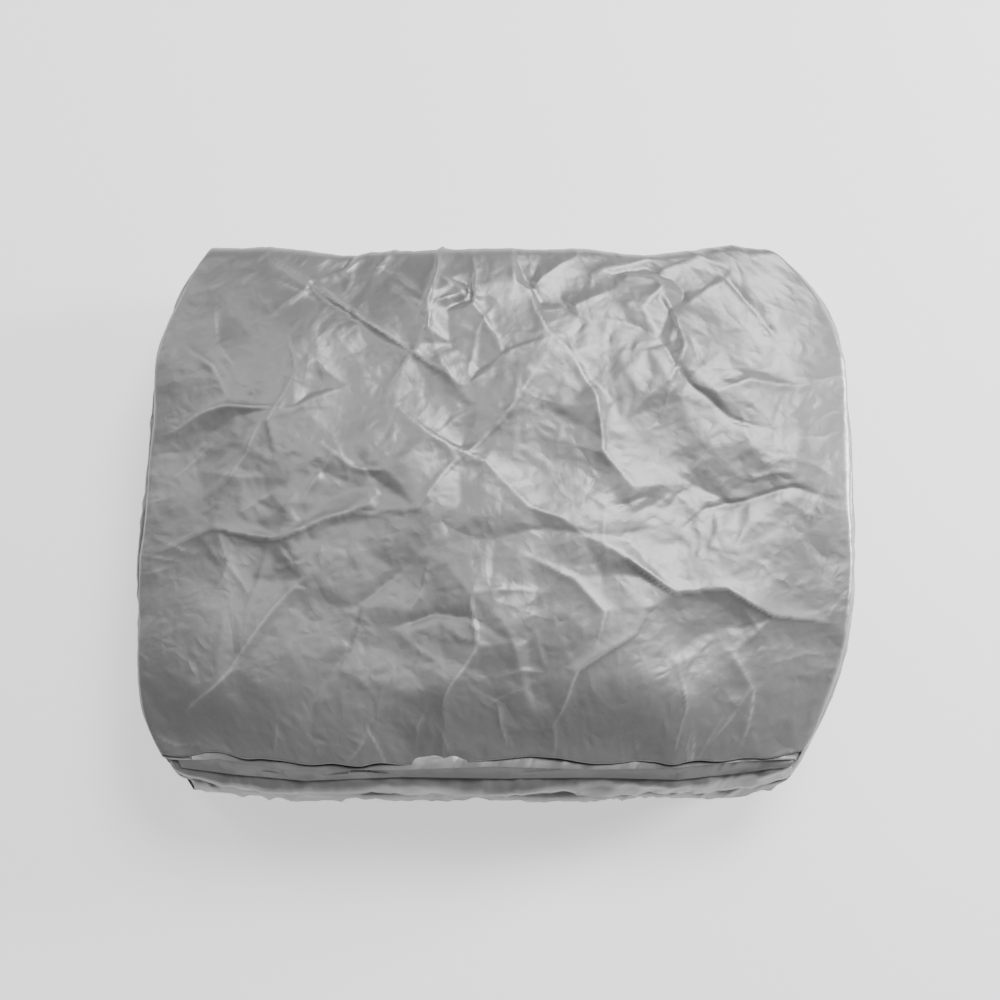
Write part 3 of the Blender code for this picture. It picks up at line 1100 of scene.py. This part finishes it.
# %% Tie the pieces to the frame
top_width, top_length = top_across[1] - top_across[0], top_along[1] - top_along[0]
whole_area = section.length * path.length
for piece in (plies_piece, top_piece):
    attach(piece, "root")
    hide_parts("folded_cover")
whole_area - top_width * top_length
print(f"The whole sheet is {whole_area:.1f} square metres")

# %% [markdown]
# ## Floor, light and camera
#
# The floor curves up all round, like the paper sweep of a photo studio, so that no view shows where it ends.
# It glows a little, as paper lit from behind does. One large soft light stands high at the back on the right
# and gives the sheen. A small low one on the right rakes over the creases, so that each shows a bright flank
# and a dark one, and two weak ones fill in from the left.

# %% Floor
FLOOR_RADIUS = 2.6
SWEEP_RADIUS = 1.4


def pale_floor():
    """A round, matt, nearly white floor that curves up at its rim."""
    shape = bmesh.new()
    rise = round_turn((FLOOR_RADIUS, SWEEP_RADIUS), SWEEP_RADIUS, -90, 80, 12)
    profile = [shape.verts.new((x, 0, z)) for x, z in [(0, 0), *rise]]
    edges = [shape.edges.new(pair) for pair in zip(profile, profile[1:])]
    full_turn = {"axis": (0, 0, 1), "cent": (0, 0, 0), "angle": 2 * math.pi, "steps": 64}
    bmesh.ops.spin(shape, geom=profile + edges, use_merge=True, **full_turn)
    bmesh.ops.remove_doubles(shape, verts=shape.verts, dist=MM)
    bmesh.ops.recalc_face_normals(shape, faces=shape.faces)
    mesh = bpy.data.meshes.new("floor")
    shape.to_mesh(mesh)
    shape.free()
    mesh.shade_smooth()
    paint = bpy.data.materials.new("pale_floor")
    paint.use_nodes = True
    look = {"Base Color": (0.9, 0.9, 0.9, 1), "Roughness": 0.8}
    look |= {"Emission Color": (1, 1, 1, 1), "Emission Strength": 0.8}
    set_inputs(paint.node_tree.nodes["Principled BSDF"], look)
    mesh.materials.append(paint)
    floor = new_object("floor", mesh)


pale_floor()


# %% Lights
def soft_light(name, place, aim, sides, power):
    """A rectangular area light that faces a point."""
    lamp = bpy.data.lights.new(name, "AREA")
    lamp.shape = "RECTANGLE"
    lamp.size, lamp.size_y = sides
    lamp.energy = power
    light = new_object(name, lamp)
    light.location = place
    light.rotation_euler = (Vector(aim) - Vector(place)).to_track_quat("-Z", "Y").to_euler()


pack_middle = (0, 0, 0.05)
soft_light("key", (0.5, 0.75, 1.4), pack_middle, (0.7, 0.7), 25)
soft_light("strip", (-0.6, 0.5, 1.3), pack_middle, (0.2, 1.1), 4)
soft_light("side", (-1.3, 0.9, 0.55), pack_middle, (0.7, 0.7), 4)
soft_light("low", (1.4, 0.35, 0.45), pack_middle, (0.35, 0.35), 30)

world = bpy.data.worlds.new("surround")
world.use_nodes = True
set_inputs(world.node_tree.nodes["Background"], {"Color": (1, 1, 1, 1), "Strength": 0.12})
bpy.context.scene.world = world

# %% Camera
CAMERA_ELEVATION_DEG = 75
CAMERA_DISTANCE = 0.652
CAMERA_LENS_MM = 43.8
LOOKS_AT = Vector((2.2, -2, 85)) * MM

lens = bpy.data.cameras.new("camera")
lens.lens = CAMERA_LENS_MM
camera = new_object("camera", lens)
elevation = math.radians(CAMERA_ELEVATION_DEG)
camera.location = LOOKS_AT + CAMERA_DISTANCE * Vector((0, -math.cos(elevation), math.sin(elevation)))
camera.rotation_euler = (math.radians(90 - CAMERA_ELEVATION_DEG), 0, 0)
bpy.context.scene.camera = camera
